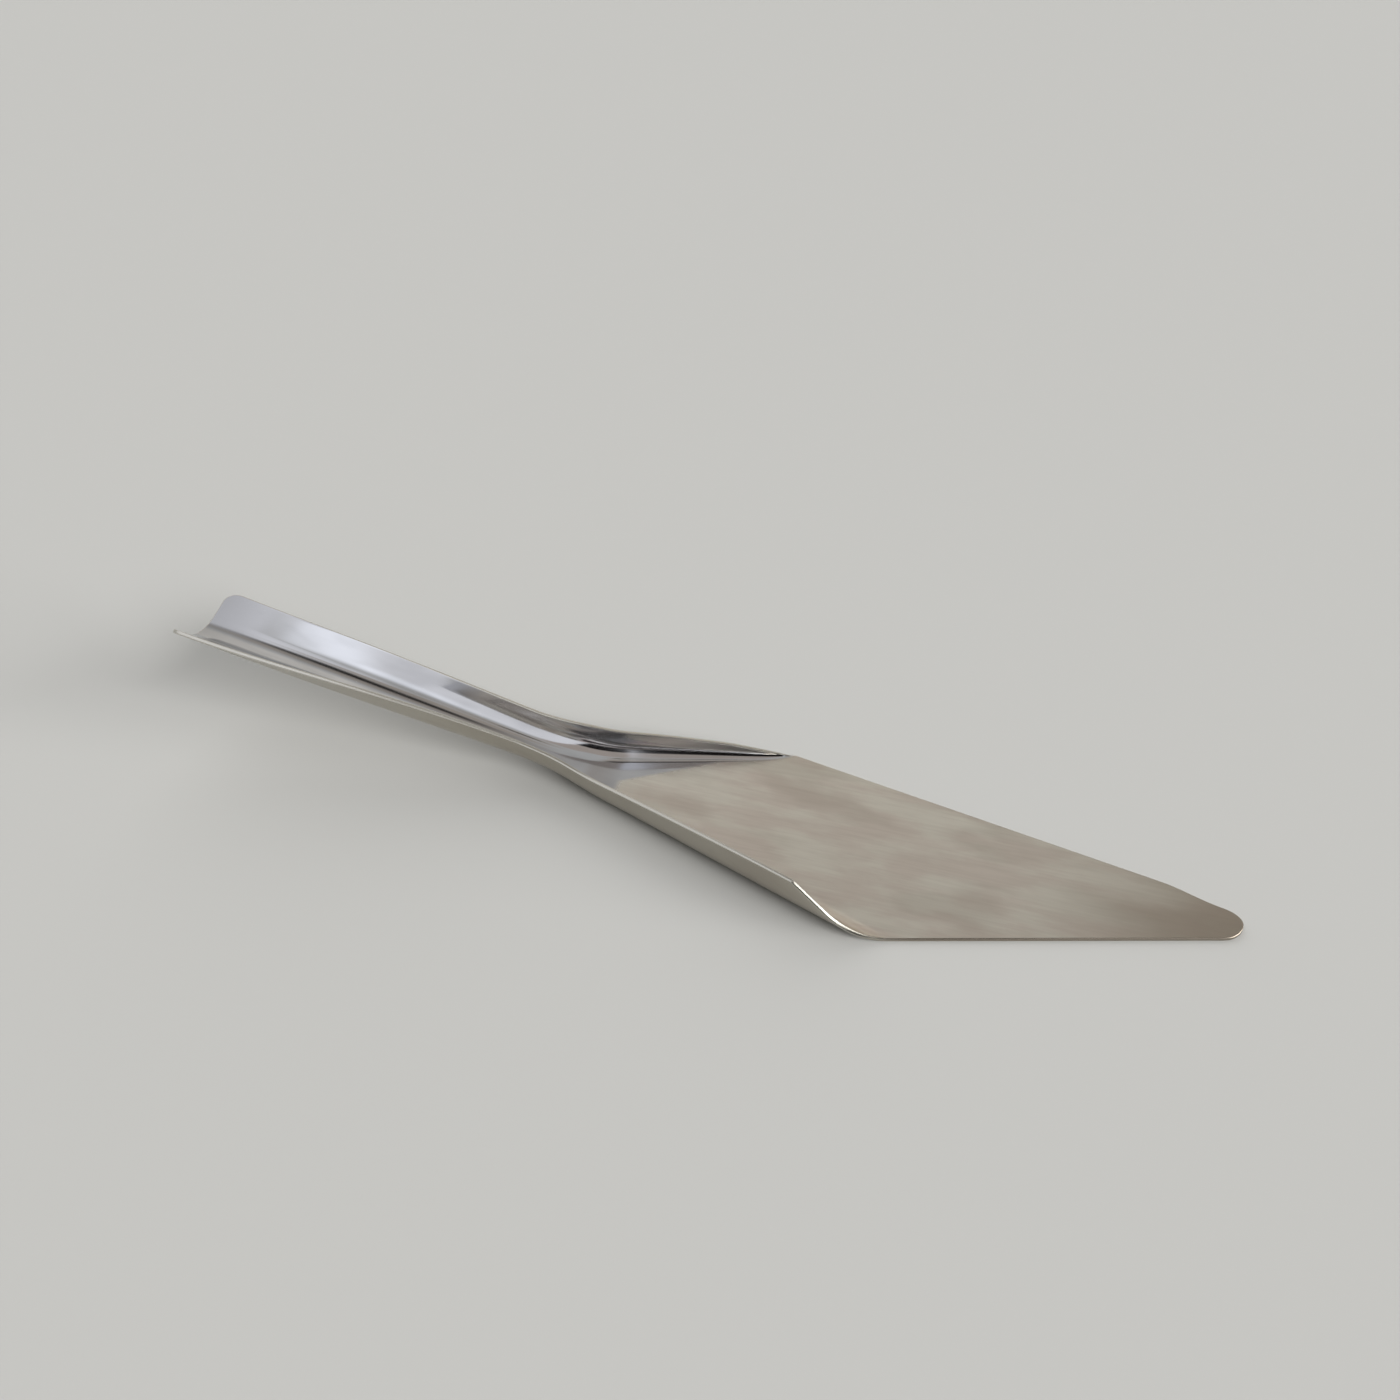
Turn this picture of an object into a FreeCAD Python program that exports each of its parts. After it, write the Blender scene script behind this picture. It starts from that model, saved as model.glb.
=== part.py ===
import FreeCAD, Part
import math
import os

# Cake server: one sheet of stainless steel, cut flat, folded up along two lines that meet
# at the neck, and opened out again into a shallow channel for the hand.
#
# Axes: +X runs from the handle to the tip, +Y is the left side as it is held, +Z is up.
# The origin lies on the blade's underside, in the handle's middle plane, at the station of
# the blade's left corner. Lengths are millimetres and angles are degrees.

SHEET = 1.1                # thickness of the sheet

# Blade, flat on the table: two straight edges that would meet at the apex.
APEX_X = 141.4
APEX_Y = -3.2
LEFT_EDGE = 10.4           # angle between the left edge and X
RIGHT_EDGE = 17.0          # angle between the right edge and X
TIP_RADIUS = 6.0

# The two fold lines close in on the middle plane and meet at the neck.
NECK_X = -60.2
LEFT_FOLD = 18.1           # angle between the left fold line and X
RIGHT_FOLD = 18.9
NECK_SOFTNESS = 3.0        # how early the two lines round into each other
CORNER_FLARE = 2.2         # the left fold line swings out to its corner by this
CORNER_FLARE_LENGTH = 6.0

# Rise of the channel's bottom line behind the blade.
RISE_START_X = -44.2
RISE_RADIUS = 52.0
RISE_ANGLE = 12.2
HANDLE_END_X = -170.2
BEYOND_END_X = -182.0      # the handle is drawn this long, then cut square

# Walls: developed width beyond the fold line, final angle and inside radius of the fold,
# each at the blade's corner, at the throat behind the neck, and at the handle's end.
THROAT_X = -71.2
RIGHT_CORNER_X = 13.3
SHOULDER_END_X = 38.8      # the blade is flat from here to the tip
RIGHT_WIDTH = (17.1, 12.2, 22.9)
RIGHT_ANGLE = (84.0, 83.0, 49.0)
RIGHT_RADIUS = (7.6, 6.1, 12.1)
LEFT_WIDTH = (0.8, 10.4, 12.9)
LEFT_ANGLE = (77.0, 82.0, 20.0)
LEFT_RADIUS = (1.0, 5.9, 9.9)
LEFT_SWELL = 1.8           # how fast the left wall gains width behind its corner
LEFT_TURN_UP = 6.0         # length over which the left wall turns up from flat

# The handle's end is cut square, with rounded corners.
END_CORNER_RADIUS = 4.0

WALL_POINTS = 13           # points of each wall's line in a section, evenly spaced


def tan(angle):
    return math.tan(math.radians(angle))


def smooth(t):
    """Ease from 0 to 1 with level ends."""
    t = min(max(t, 0.0), 1.0)
    return t * t * (3 - 2 * t)


def open_out(x):
    """Share of the way from the throat to the handle's end, fast at first."""
    t = max((THROAT_X - x) / (THROAT_X - HANDLE_END_X), 0.0)
    return math.sin(min(t, 1.05) * math.pi / 2)


def along(values, x):
    """A wall's value at station x, from its values at the corner, throat and end."""
    corner, throat, end = values
    if x < THROAT_X:
        return throat + (end - throat) * open_out(x)
    return corner + (throat - corner) * smooth((RIGHT_CORNER_X - x) / (RIGHT_CORNER_X - THROAT_X))


def right_width(x):
    """Developed width of the right wall, cut off past its corner by the blank's right edge."""
    if x > RIGHT_CORNER_X:
        return -right_edge_y(x) - fold_offset(RIGHT_FOLD, x)
    return along(RIGHT_WIDTH, x)


def right_angle(x):
    return along(RIGHT_ANGLE, x) if x < SHOULDER_END_X else 0.0


def left_width(x):
    """Developed width of the left wall, which grows from its corner to the throat."""
    corner, throat, end = LEFT_WIDTH
    if x < THROAT_X:
        return throat + (end - throat) * (THROAT_X - x) / (THROAT_X - HANDLE_END_X)
    t = max(x / THROAT_X, 0.0)
    return corner + (throat - corner) * (1 - (1 - t) ** LEFT_SWELL)


def left_radius(x):
    """Inside radius of the left fold, tight at its corner like the point of a cone."""
    corner, throat, end = LEFT_RADIUS
    if x < THROAT_X:
        return throat + (end - throat) * open_out(x)
    return max(throat * math.sqrt(max(x / THROAT_X, 0.0)), corner)


def left_angle(x):
    return along(LEFT_ANGLE, x) * smooth(-x / LEFT_TURN_UP)


def fold_offset(angle, x):
    """Distance of a fold line from the middle plane: straight, then rounded off at the neck."""
    q = (x - NECK_X) * tan(angle)
    return (q + math.hypot(q, NECK_SOFTNESS)) / 2


def left_fold(x):
    """The left fold line, which ends at its corner; past it, a narrow margin of the blade."""
    if x < 0:
        return fold_offset(LEFT_FOLD, x) + CORNER_FLARE * math.exp(x / CORNER_FLARE_LENGTH)
    return left_edge_y(x) - LEFT_WIDTH[0]


def bottom(x):
    """Height of the channel's bottom line: flat, an arc, then a straight rise."""
    d = max(RISE_START_X - x, 0.0)
    slope = tan(RISE_ANGLE)
    if d < RISE_RADIUS * slope:
        return d * d / (2 * RISE_RADIUS)
    return slope * d - RISE_RADIUS * slope * slope / 2


def left_edge_y(x):
    return APEX_Y + (APEX_X - x) * tan(LEFT_EDGE)


def right_edge_y(x):
    return APEX_Y - (APEX_X - x) * tan(RIGHT_EDGE)


def wall_line(width, radius, angle):
    """Points of a wall's inner line, from its fold line to its rim, as (out, up, tilt)."""
    turn = math.radians(angle)
    points = []
    for i in range(WALL_POINTS):
        s = width * i / (WALL_POINTS - 1)
        tilt = min(s / radius, turn)
        rest = s - radius * tilt
        points.append((radius * math.sin(tilt) + rest * math.cos(turn),
                       radius * (1 - math.cos(tilt)) + rest * math.sin(turn), tilt))
    return points


def wall_curve(x, side, depth, line):
    """One wall's line from foot to rim; side is 1 for left, -1 for right, depth 0 or SHEET."""
    foot = left_fold(x) if side > 0 else fold_offset(RIGHT_FOLD, x)
    height = bottom(x) + SHEET
    points = [FreeCAD.Vector(x, side * (foot + out + depth * math.sin(tilt)),
                             height + up - depth * math.cos(tilt)) for out, up, tilt in line]
    even = [i / (WALL_POINTS - 1) for i in range(WALL_POINTS)]
    curve = Part.BSplineCurve()
    curve.interpolate(Points=points, Parameters=even)
    return curve


def section(x):
    """Closed wire of the sheet's section at station x: floor, two walls, two square rims."""
    right = wall_line(right_width(x), along(RIGHT_RADIUS, x), right_angle(x))
    left = wall_line(left_width(x), left_radius(x), left_angle(x))
    upper_right, lower_right = [wall_curve(x, -1, depth, right) for depth in (0, SHEET)]
    upper_left, lower_left = [wall_curve(x, 1, depth, left) for depth in (0, SHEET)]
    upper_right.reverse()
    lower_left.reverse()
    loop = [upper_right, upper_left, lower_left, lower_right]
    edges = []
    for curve, following in zip(loop, loop[1:] + loop[:1]):
        edges.append(curve.toShape())
        edges.append(Part.makeLine(curve.EndPoint, following.StartPoint))
    return Part.Wire(edges)


def folded_part():
    """Five lengths of the folded sheet, from beyond the handle's end to the flat blade.

    The rising handle meets the flat channel where the rise starts. The channel's left wall
    runs out in a short straight tuck at the left corner. Past it the left side is flat, and
    the right wall runs on to its own corner. From there the blank's straight right edge is
    carried down round the fold, which makes the S-shaped edge between wall and blade.
    """
    handle = [BEYOND_END_X, -165, -150, -135, -120, -106, -94, -84, -76, -70, -65, -60, -56, -52, -48,
              RISE_START_X]
    channel = [RISE_START_X, -40, -35, -30, -25, -20, -16, -12, -9, -6, -4, -2]
    tuck = [-2, 0]
    corner = [0, 5, 10, RIGHT_CORNER_X]
    run = SHOULDER_END_X - RIGHT_CORNER_X
    shoulder = [RIGHT_CORNER_X + run * i / 6 for i in range(7)]
    return [Part.makeLoft([section(x) for x in stations], True)
            for stations in (handle, channel, tuck, corner, shoulder)]


def blade_plate():
    """The flat plate, from its round tip back between the fold lines to where the rise starts."""
    half = math.radians(LEFT_EDGE + RIGHT_EDGE) / 2
    axis = math.radians(180 + (RIGHT_EDGE - LEFT_EDGE) / 2)
    reach = TIP_RADIUS / math.sin(half)
    apex = FreeCAD.Vector(APEX_X, APEX_Y, 0)
    centre = apex + FreeCAD.Vector(math.cos(axis), math.sin(axis), 0) * reach

    def from_centre(angle):
        a = math.radians(angle)
        return centre + FreeCAD.Vector(math.cos(a), math.sin(a), 0) * TIP_RADIUS

    left_tangent = from_centre(90 - LEFT_EDGE)
    right_tangent = from_centre(RIGHT_EDGE - 90)
    tip = Part.Arc(right_tangent, from_centre((RIGHT_EDGE - LEFT_EDGE) / 2), left_tangent)
    back = [(SHOULDER_END_X, left_edge_y(SHOULDER_END_X)),
            (0, -NECK_X * tan(LEFT_FOLD)),
            (RISE_START_X, (RISE_START_X - NECK_X) * tan(LEFT_FOLD)),
            (RISE_START_X, -(RISE_START_X - NECK_X) * tan(RIGHT_FOLD)),
            (SHOULDER_END_X, -(SHOULDER_END_X - NECK_X) * tan(RIGHT_FOLD)),
            (SHOULDER_END_X, right_edge_y(SHOULDER_END_X))]
    corners = [left_tangent] + [FreeCAD.Vector(x, y, 0) for x, y in back] + [right_tangent]
    sides = [Part.makeLine(p, q) for p, q in zip(corners, corners[1:])]
    outline = Part.Wire([tip.toShape()] + sides)
    return Part.Face(outline).extrude(FreeCAD.Vector(0, 0, SHEET))


def square_end(body):
    """Cut the handle's end square to its rise and round its two corners."""
    z = bottom(HANDLE_END_X)
    cutter = Part.makeBox(60, 120, 120, FreeCAD.Vector(-60, -60, -60))
    cutter.rotate(FreeCAD.Vector(0, 0, 0), FreeCAD.Vector(0, 1, 0), RISE_ANGLE)
    cutter.translate(FreeCAD.Vector(HANDLE_END_X, 0, z))
    body = body.cut(cutter)
    corners = [edge for edge in body.Edges
               if abs(edge.Length - SHEET) < 0.1 and edge.BoundBox.XMax < HANDLE_END_X + 8]
    return body.makeFillet(END_CORNER_RADIUS, corners)


def server_body():
    plate = blade_plate()
    body = plate
    for length in folded_part():
        body = body.fuse(length.cut(plate))
    return square_end(body.removeSplitter())


os.makedirs("parts", exist_ok=True)
solid = server_body()
solid.exportStep("parts/server_body.step")
box = solid.optimalBoundingBox()
print("valid", solid.isValid(), "solids", len(solid.Solids), "faces", len(solid.Faces))
print("size %.1f x %.1f x %.1f mm" % (box.XLength, box.YLength, box.ZLength))
print("lowest %.3f mm, volume %.0f mm3" % (box.ZMin, solid.Volume))
print("centre of mass", solid.Solids[0].CenterOfMass)
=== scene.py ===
"""Cake server: one sheet of stainless steel, folded up behind a flat pointed blade.

The scene is in metres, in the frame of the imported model: +X runs from the handle to the tip,
+Y is the left side as it is held, +Z is up, and the blade's underside lies at z = 0. The sheet
and its finish have their own sizes in millimetres.
"""

from __future__ import annotations

import logging
import math
from dataclasses import dataclass
from enum import Enum

import bpy
import numpy as np
from mathutils import Matrix, Vector

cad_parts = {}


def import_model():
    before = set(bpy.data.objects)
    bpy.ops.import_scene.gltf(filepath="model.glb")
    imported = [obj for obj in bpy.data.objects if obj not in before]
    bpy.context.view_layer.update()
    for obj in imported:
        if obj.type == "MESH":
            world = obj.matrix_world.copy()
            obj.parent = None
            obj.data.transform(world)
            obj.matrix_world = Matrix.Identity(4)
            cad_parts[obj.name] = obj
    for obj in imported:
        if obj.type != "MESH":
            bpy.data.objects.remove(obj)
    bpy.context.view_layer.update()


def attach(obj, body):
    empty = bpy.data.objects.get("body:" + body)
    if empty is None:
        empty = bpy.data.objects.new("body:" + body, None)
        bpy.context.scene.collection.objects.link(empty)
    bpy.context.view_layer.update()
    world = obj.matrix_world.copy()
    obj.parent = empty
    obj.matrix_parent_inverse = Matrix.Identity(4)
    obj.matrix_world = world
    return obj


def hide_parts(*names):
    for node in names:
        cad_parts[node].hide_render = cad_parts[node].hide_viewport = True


LOG = logging.getLogger("cake_server")

MM = 0.001
SHEET_MAP = "sheet_100mm"    # the sheet's UV map, along x and across the sheet
MAP_UNIT = 100.0             # millimetres of sheet for one unit of the map

# Numbers of the Mix node's inputs and outputs, which share their names.
FACTOR = 0
VALUE_A, VALUE_B, VALUE_OUT = 2, 3, 0
COLOUR_A, COLOUR_B, COLOUR_OUT = 6, 7, 2


class Zone(Enum):
    """Parts of the sheet that take their own finish, by the name of their point attribute."""

    POLISH = "polish"
    RIM = "rim"
    OUTSIDE = "outside"


def linear(code: str) -> tuple[float, float, float, float]:
    """Turn an sRGB hex code such as "c8c4bc" into linear RGBA.

    Args:
        code: six hex digits.

    Returns:
        The four linear channels, with alpha 1.
    """
    channels = [int(code[i:i + 2], 16) / 255 for i in (0, 2, 4)]
    out = [c / 12.92 if c <= 0.04045 else ((c + 0.055) / 1.055) ** 2.4 for c in channels]
    return (out[0], out[1], out[2], 1.0)


def smooth(t: np.ndarray) -> np.ndarray:
    """Ease from 0 to 1 with level ends: t squared times (3 - 2t), with t held in 0 to 1."""
    t = np.clip(t, 0.0, 1.0)
    return t * t * (3 - 2 * t)


def slope(angle: float) -> float:
    """Tangent of an angle in degrees."""
    return math.tan(math.radians(angle))


def unit(vectors: np.ndarray) -> np.ndarray:
    """Each vector divided by its length."""
    return vectors / np.linalg.norm(vectors, axis=-1, keepdims=True)


def between(first: np.ndarray, last: np.ndarray, steps: int) -> np.ndarray:
    """Even steps in every row: first + (last - first) * t, with t from 0 to 1."""
    return first[:, None] + (last - first)[:, None] * np.linspace(0, 1, steps + 1)[None, :]


def add_node(tree: bpy.types.NodeTree, kind: str, inputs: dict | None = None,
             **settings: object) -> bpy.types.Node:
    """Add one shader node, set it up and link its inputs.

    Args:
        tree: the node tree it goes into.
        kind: the node's type name, without its "ShaderNode".
        inputs: input name or number to a constant, or to the output socket that feeds it.
        settings: the node's own settings by name.

    Returns:
        The new node.
    """
    node = tree.nodes.new("ShaderNode" + kind)
    for name, value in settings.items():
        setattr(node, name, value)
    for key, value in (inputs or {}).items():
        if isinstance(value, bpy.types.NodeSocket):
            tree.links.new(value, node.inputs[key])
        else:
            node.inputs[key].default_value = value
    return node


def layered(tree: bpy.types.NodeTree, colour: tuple | bpy.types.NodeSocket,
            layers: tuple) -> bpy.types.NodeSocket:
    """Lay colours over a first one in turn, each by its own amount.

    Args:
        tree: the material's nodes.
        colour: the colour underneath, a constant or a socket.
        layers: for each layer its amount, a socket, and its colour.

    Returns:
        The mixed colour.
    """
    for amount, over in layers:
        mix = add_node(tree, "Mix", {FACTOR: amount, COLOUR_A: colour, COLOUR_B: over},
                       data_type="RGBA")
        colour = mix.outputs[COLOUR_OUT]
    return colour


def empty_material(name: str) -> bpy.types.Material:
    """Make a node material with no nodes in it.

    Args:
        name: the material's name.

    Returns:
        The material.
    """
    material = bpy.data.materials.new(name)
    material.use_nodes = True
    material.node_tree.nodes.clear()
    return material


def mesh_object(name: str, points: np.ndarray, quads: np.ndarray) -> bpy.types.Object:
    """Put a vertex array and a quad array into a new smooth-shaded object.

    Args:
        name: the object's name.
        points: vertices in metres, shape (n, 3).
        quads: vertex numbers, shape (m, 4).

    Returns:
        The object, linked to the scene.
    """
    mesh = bpy.data.meshes.new(name)
    mesh.vertices.add(len(points))
    mesh.vertices.foreach_set("co", points.astype(np.float32).ravel())
    mesh.loops.add(quads.size)
    mesh.loops.foreach_set("vertex_index", quads.astype(np.int32).ravel())
    mesh.polygons.add(len(quads))
    mesh.polygons.foreach_set("loop_start", np.arange(0, quads.size, 4, dtype=np.int32))
    mesh.update(calc_edges=True)
    mesh.validate()
    mesh.polygons.foreach_set("use_smooth", np.ones(len(mesh.polygons), dtype=bool))
    obj = bpy.data.objects.new(name, mesh)
    bpy.context.scene.collection.objects.link(obj)
    return obj


def grid_border(rows: int, columns: int) -> np.ndarray:
    """Vertex numbers once round a grid, which starts along its first column.

    Args:
        rows: the grid's rows.
        columns: the grid's columns.

    Returns:
        The numbers of the border's vertices in order.
    """
    first_column = np.arange(rows) * columns
    last_row = (rows - 1) * columns + np.arange(1, columns)
    last_column = np.arange(rows - 2, -1, -1) * columns + columns - 1
    first_row = np.arange(columns - 2, 0, -1)
    return np.concatenate([first_column, last_row, last_column, first_row])


def closed_faces(rows: int, columns: int, border: np.ndarray, rings: int) -> np.ndarray:
    """Quads of a closed sheet: its upper side, its underside and the bands round its rim.

    The vertices are the upper grid, then the rim's rings, then the grid of the underside.

    Args:
        rows: the grid's rows.
        columns: the grid's columns.
        border: vertex numbers round the grid.
        rings: how many rings of rim points lie between the two sides.

    Returns:
        Vertex numbers, shape (m, 4).
    """
    size = rows * columns
    index = np.arange(size).reshape(rows, columns)
    upper = np.stack([index[:-1, :-1], index[1:, :-1], index[1:, 1:], index[:-1, 1:]], axis=-1)
    upper = upper.reshape(-1, 4)
    under = size + rings * len(border)
    loops = [border]
    loops += [size + ring * len(border) + np.arange(len(border)) for ring in range(rings)]
    loops += [under + border]
    bands = [np.stack([np.roll(a, -1), a, b, np.roll(b, -1)], axis=-1)
             for a, b in zip(loops, loops[1:])]
    return np.concatenate([upper, under + upper[:, ::-1]] + bands)


@dataclass(frozen=True)
class Spots:
    """Noise whose spots have a real length and width on the sheet, in millimetres."""

    name: str
    length: float
    width: float
    detail: float
    seed: float

    def build(self, tree: bpy.types.NodeTree,
              sheet_map: bpy.types.NodeSocket) -> bpy.types.NodeSocket:
        """Add the noise, stretched to the spots' size and moved by the seed.

        Args:
            tree: the material's nodes.
            sheet_map: the sheet's UV map.

        Returns:
            The noise, 0 to 1.
        """
        place = add_node(tree, "Mapping", {
            "Vector": sheet_map, "Location": (self.seed, self.seed, self.seed),
            "Scale": (MAP_UNIT / self.length, MAP_UNIT / self.width, 1.0)})
        noise = add_node(tree, "TexNoise", {
            "Vector": place.outputs["Vector"], "Scale": 1.0, "Detail": self.detail})
        return noise.outputs["Fac"]


@dataclass(frozen=True)
class Fade:
    """A smooth step over a source, from 0 at its start up to its level at its stop."""

    name: str
    source: str
    start: float
    stop: float
    level: float = 1.0

    def inputs(self, value: bpy.types.NodeSocket) -> dict:
        """The Map Range inputs that apply the step to a value."""
        return {"Value": value, "From Min": self.start, "From Max": self.stop,
                "To Max": self.level}


@dataclass(frozen=True)
class StainlessSheet:
    """Cold-rolled stainless steel sheet: polished in the channel, worn to satin on the blade.

    Polish gives clear, slightly bluish reflections with sharp dark bands, and its colour greys
    towards the handle's end as painted shade. The blade has been rubbed lengthwise for years,
    which gives a warm grey with fine streaks and soft blotches, and its colour darkens to brown
    towards the tip as painted shade. The outer side was never polished. The cut edge is bright
    round the walls, and along the blade its colour is darkened as painted shade. Depths and
    places are in millimetres.
    """

    # Base colours, each of clean or worn steel. The brown one and the grey one also give painted
    # shade.
    polished: str = "cccdd0"
    greyed: str = "b1b2b4"
    satin: str = "e5e1d6"
    tinted: str = "dcd3c9"
    stain_and_shade: str = "9c9082"
    dull: str = "b9b4a9"
    cut_edge: str = "cac8c0"

    # Mean roughness of each finish, and the range over which smears and hairlines vary it.
    polished_roughness: float = 0.11
    satin_roughness: float = 0.32
    cut_roughness: float = 0.26
    smear_roughness: float = 0.16
    hairline_roughness: float = 0.12

    # Relief.
    dent_depth: float = 0.04
    hairline_depth: float = 0.02
    hairline_strength: float = 0.08

    # Hairlines are far finer on the real steel. Here they are as fine as the render can show.
    spots: tuple[Spots, ...] = (
        Spots("blotch", 34.0, 12.0, 3.0, 1.7),
        Spots("tint", 21.0, 8.0, 4.0, 23.3),
        Spots("smear", 18.0, 7.0, 2.0, 5.3),
        Spots("streak", 14.0, 0.9, 3.0, 7.7),
        Spots("hairline", 9.0, 0.28, 2.0, 11.3),
        Spots("dent", 26.0, 17.0, 1.0, 17.9),
    )
    # The blotches carry the painted shade towards the tip up to half of this back and forth.
    tip_shade_wander: float = 50.0
    fades: tuple[Fade, ...] = (
        Fade("clouds", "blotch", 0.42, 0.64, 0.24),
        Fade("tint", "tint", 0.38, 0.62),
        Fade("smears", "smear", 0.35, 0.70, 0.55),
        Fade("streaks", "streak", 0.32, 0.72, 0.11),
        # Painted shade: the blade's colour darkens to brown towards the tip.
        Fade("tip_painted_shade", "wandering_station", 55.0, 130.0, 0.8),
        # Painted shade: the polish greys towards the handle's end, in place of a darker reflection
        # there.
        Fade("tail_painted_shade", "station", -150.0, -174.0),
        # Painted shade: the cut edge's colour darkens along the blade, where it lies on the floor.
        Fade("edge_painted_shade", "station", 22.0, 48.0, 0.8),
    )

    def stations(self, tree: bpy.types.NodeTree, sheet_map: bpy.types.NodeSocket,
                 blotch: bpy.types.NodeSocket) -> dict[str, bpy.types.NodeSocket]:
        """Places along the sheet in millimetres: plain, and shifted by the blotches.

        Args:
            tree: the material's nodes.
            sheet_map: the sheet's UV map.
            blotch: the blotches' noise.

        Returns:
            The two places by name.
        """
        along = add_node(tree, "SeparateXYZ", {0: sheet_map}).outputs["X"]
        plain = add_node(tree, "Math", {0: along, 1: MAP_UNIT}, operation="MULTIPLY").outputs[0]
        shift = add_node(tree, "Math", {0: blotch, 1: self.tip_shade_wander, 2: -self.tip_shade_wander / 2},
                         operation="MULTIPLY_ADD").outputs[0]
        wandering = add_node(tree, "Math", {0: plain, 1: shift}, operation="ADD").outputs[0]
        return {"station": plain, "wandering_station": wandering}

    def colour(self, tree: bpy.types.NodeTree, zones: dict[Zone, bpy.types.NodeSocket],
               fades: dict[str, bpy.types.NodeSocket]) -> bpy.types.NodeSocket:
        """The colours of blade, channel, outer side and cut edge, each in its own zone.

        Args:
            tree: the material's nodes.
            zones: each zone's level.
            fades: each fade's level by name.

        Returns:
            The colour.
        """
        stain_and_shade = linear(self.stain_and_shade)
        # The blotches, and the painted shade towards the tip, whichever is more.
        blotches_and_tip_shade = add_node(tree, "Math", {0: fades["tip_painted_shade"], 1: fades["clouds"]},
                         operation="MAXIMUM").outputs[0]
        # Smears, and the painted shade towards the handle's end, grey the polish.
        worn = add_node(tree, "Math", {0: fades["smears"], 1: fades["tail_painted_shade"]},
                        operation="MAXIMUM").outputs[0]
        blade = layered(tree, linear(self.satin), (
            (fades["tint"], linear(self.tinted)), (blotches_and_tip_shade, stain_and_shade), (fades["streaks"], stain_and_shade)))
        channel = layered(tree, linear(self.polished), ((worn, linear(self.greyed)),))
        outer = layered(tree, linear(self.dull), ((fades["clouds"], stain_and_shade),))
        # Painted shade darkens the cut edge along the blade.
        edge = layered(tree, linear(self.cut_edge), ((fades["edge_painted_shade"], stain_and_shade),))
        return layered(tree, blade, (
            (zones[Zone.POLISH], channel), (zones[Zone.OUTSIDE], outer), (zones[Zone.RIM], edge)))

    def roughness(self, tree: bpy.types.NodeTree, zones: dict[Zone, bpy.types.NodeSocket],
                  noise: dict[str, bpy.types.NodeSocket]) -> bpy.types.NodeSocket:
        """Satin that varies with the hairlines, polish that varies with the smears.

        Args:
            tree: the material's nodes.
            zones: each zone's level.
            noise: each pattern by name.

        Returns:
            The roughness.
        """
        satin = add_node(tree, "Math", {
            0: noise["hairline"], 1: self.hairline_roughness,
            2: self.satin_roughness - self.hairline_roughness / 2}, operation="MULTIPLY_ADD")
        polish = add_node(tree, "Math", {
            0: noise["smear"], 1: self.smear_roughness,
            2: self.polished_roughness - self.smear_roughness / 2}, operation="MULTIPLY_ADD")
        sides = add_node(tree, "Mix", {
            FACTOR: zones[Zone.POLISH], VALUE_A: satin.outputs[0], VALUE_B: polish.outputs[0]})
        both = add_node(tree, "Mix", {
            FACTOR: zones[Zone.RIM], VALUE_A: sides.outputs[VALUE_OUT],
            VALUE_B: self.cut_roughness})
        return both.outputs[VALUE_OUT]

    def relief(self, tree: bpy.types.NodeTree,
               noise: dict[str, bpy.types.NodeSocket]) -> bpy.types.NodeSocket:
        """Shallow dents from pressing and use, with fine hairlines over them.

        Args:
            tree: the material's nodes.
            noise: each pattern by name.

        Returns:
            The normal.
        """
        dents = add_node(tree, "Bump", {
            "Height": noise["dent"], "Strength": 1.0, "Distance": self.dent_depth * MM})
        hairlines = add_node(tree, "Bump", {
            "Height": noise["hairline"], "Strength": self.hairline_strength,
            "Distance": self.hairline_depth * MM, "Normal": dents.outputs["Normal"]})
        return hairlines.outputs["Normal"]

    def material(self) -> bpy.types.Material:
        """Build the steel.

        Returns:
            The material.
        """
        material = empty_material("stainless_steel_sheet")
        tree = material.node_tree
        sheet_map = add_node(tree, "UVMap", uv_map=SHEET_MAP).outputs["UV"]
        zones = {zone: add_node(tree, "Attribute", attribute_name=zone.value).outputs["Fac"]
                 for zone in Zone}
        noise = {spots.name: spots.build(tree, sheet_map) for spots in self.spots}
        sources = noise | self.stations(tree, sheet_map, noise["blotch"])
        fades = {fade.name: add_node(tree, "MapRange", fade.inputs(sources[fade.source]),
                                     interpolation_type="SMOOTHSTEP").outputs["Result"]
                 for fade in self.fades}
        steel = add_node(tree, "BsdfPrincipled", {
            "Metallic": 1.0,
            "Base Color": self.colour(tree, zones, fades),
            "Roughness": self.roughness(tree, zones, noise),
            "Normal": self.relief(tree, noise)})
        add_node(tree, "OutputMaterial", {"Surface": steel.outputs["BSDF"]})
        return material


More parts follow.
